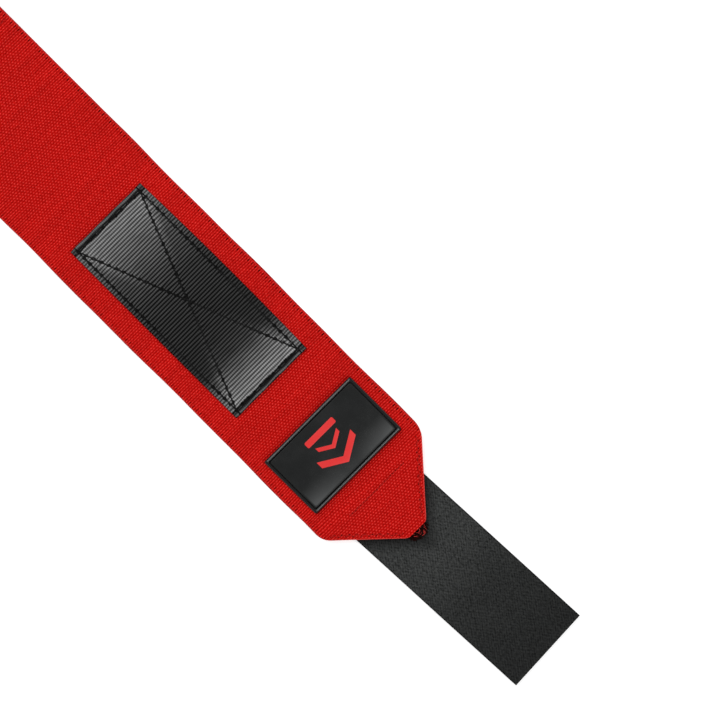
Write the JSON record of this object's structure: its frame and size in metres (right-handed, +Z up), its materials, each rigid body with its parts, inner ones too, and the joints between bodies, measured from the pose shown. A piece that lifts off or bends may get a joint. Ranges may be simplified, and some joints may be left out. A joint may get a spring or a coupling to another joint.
{
  "type": "hand wrap",
  "caption": "Wide elastic hand wrap laid flat, with a pointed end, a hook tape closing strap, sewn patches and a thumb loop.",
  "frame": {"origin": "centre of the bounding box, on the surface that the wrap lies on", "axes": "+X along the wrap, from the thumb loop to the free end of the hook strap; +Z up, out of the outer face"},
  "size_m": [0.5248, 0.079, 0.02],
  "materials": {
    "elastic_red": "matt woven elastic",
    "ribbed_black": "ribbed, with a soft sheen along the ribs",
    "patch_rubber": "satin moulded rubber",
    "mark_red": "satin moulded rubber",
    "strap_tape_black": "matt close weave",
    "hook_black": "dense field of moulded hooks",
    "loop_tape_black": "matt flat woven tape",
    "thread_black": "twisted thread",
    "thread_red": "twisted thread"
  },
  "bodies": {
    "middle": {"band_middle_panel": "elastic_red", "landing_patch": "ribbed_black", "landing_patch_box_seam": "thread_black", "landing_patch_cross_seam": "thread_black"},
    "tail": {"band_tail_panel": "elastic_red"},
    "hem": {"band_hem_panel": "elastic_red", "hem_seam": "thread_red", "hem_edge_seam_left": "thread_red", "hem_edge_seam_right": "thread_red", "thumb_loop_ends": "loop_tape_black", "thumb_loop_seam": "thread_black"},
    "thumb_loop": {"thumb_loop": "loop_tape_black"},
    "tip": {"band_tip_panel": "elastic_red", "rubber_patch": "patch_rubber", "rubber_patch_seam": "thread_black", "rubber_mark_outer_peak": "mark_red", "rubber_mark_inner_peak": "mark_red", "rubber_mark_bar": "mark_red", "tip_fold_left": "elastic_red", "tip_fold_right": "elastic_red", "tip_topstitch_left": "thread_red", "tip_topstitch_right": "thread_red", "strap_root_seam": "thread_red", "tip_bartack": "thread_red", "strap_root_tape": "strap_tape_black", "strap_root_hooks": "hook_black"},
    "strap": {"strap_tape": "strap_tape_black", "strap_hooks": "hook_black"}
  },
  "joints": [
    {"name": "tail_curl", "type": "hinge", "parent": "middle", "child": "tail", "pos_m": [-0.07769, 0, 0.0026], "axis": [0, 1, 0], "range_deg": [0, 50]},
    {"name": "hem_curl", "type": "hinge", "parent": "tail", "child": "hem", "pos_m": [-0.13569, 0, 0.0026], "axis": [0, 1, 0], "range_deg": [0, 50]},
    {"name": "thumb_loop_swing", "type": "hinge", "parent": "hem", "child": "thumb_loop", "pos_m": [-0.20069, 0, 0.007], "axis": [0, 1, 0], "range_deg": [0, 150]},
    {"name": "tip_bend", "type": "hinge", "parent": "middle", "child": "tip", "pos_m": [0.07211, 0, 0.0048], "axis": [0, -1, 0], "range_deg": [0, 100]},
    {"name": "strap_fold", "type": "hinge", "parent": "tip", "child": "strap", "pos_m": [0.17881, -0.0002, 0.0045], "axis": [0.0471, -0.9989, 0], "range_deg": [0, 170]}
  ],
  "couplings": [
    {"joint": "hem_curl", "follows": "tail_curl", "ratio": 1}
  ]
}
